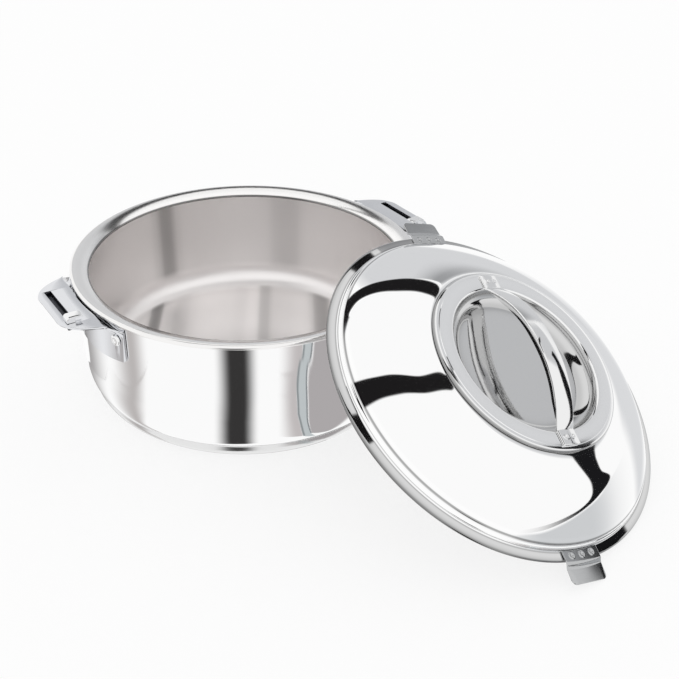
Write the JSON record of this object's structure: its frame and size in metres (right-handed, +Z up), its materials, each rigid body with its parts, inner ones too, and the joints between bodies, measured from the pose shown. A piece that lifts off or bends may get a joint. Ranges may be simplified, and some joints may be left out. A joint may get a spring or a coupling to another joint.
{
  "type": "insulated chapati casserole",
  "caption": "Double-walled round steel food casserole with side handles and sliding latches, its domed lid lying off the pot and leaning on the rim.",
  "frame": {"origin": "centre of the pot's flat underside", "axes": "+Z is up out of the pot's mouth, and +X runs along the line through the two side handles, towards the right-hand one; the loose lid leans at -Y"},
  "size_m": [0.3314, 0.4127, 0.1227],
  "materials": {
    "rim_steel": "polished stainless steel sheet, rolled rim",
    "bowl_steel": "polished stainless steel sheet, slightly hazy from deep drawing",
    "wall_steel": "mirror-polished stainless steel sheet",
    "base_steel": "satin-polished stainless steel sheet",
    "handle_steel": "satin-polished stainless steel plate with rolled edges",
    "rivet_steel": "polished stainless steel rivet",
    "latch_steel": "polished stainless steel pressing",
    "channel_steel": "unpolished stainless steel plate",
    "dome_steel": "mirror-polished stainless steel sheet",
    "crown_steel": "mirror-polished stainless steel sheet",
    "liner_steel": "polished stainless steel sheet",
    "strap_steel": "polished stainless steel strap",
    "tab_steel": "polished stainless steel pressing with three spot welds",
    "foam": null
  },
  "bodies": {
    "pot": {"rim_ring": "rim_steel", "inner_bowl": "bowl_steel", "outer_shell": "wall_steel", "base_pan": "base_steel", "body_insulation": "foam", "handle_right": "handle_steel", "handle_left": "handle_steel", "rivet_right_far": "rivet_steel", "rivet_right_near": "rivet_steel", "rivet_left_far": "rivet_steel", "rivet_left_near": "rivet_steel", "latch_channel_right": "channel_steel", "latch_channel_left": "channel_steel"},
    "lid": {"lid_dome": "dome_steel", "lid_crown": "crown_steel", "lid_liner": "liner_steel", "lid_insulation": "foam", "lid_strap": "strap_steel", "lid_tab_upper": "tab_steel", "lid_tab_lower": "tab_steel"},
    "latch_right": {"latch_slider_right": "latch_steel"},
    "latch_left": {"latch_slider_left": "latch_steel"}
  },
  "joints": [
    {"name": "lid_lift", "type": "slide", "parent": "pot", "child": "lid", "axis": [0, 0, 1], "range_m": [0, 0.12]},
    {"name": "latch_right_slide", "type": "slide", "parent": "pot", "child": "latch_right", "axis": [0, 1, 0], "range_m": [0, 0.0392]},
    {"name": "latch_left_slide", "type": "slide", "parent": "pot", "child": "latch_left", "axis": [0, 1, 0], "range_m": [0, 0.0392]}
  ]
}
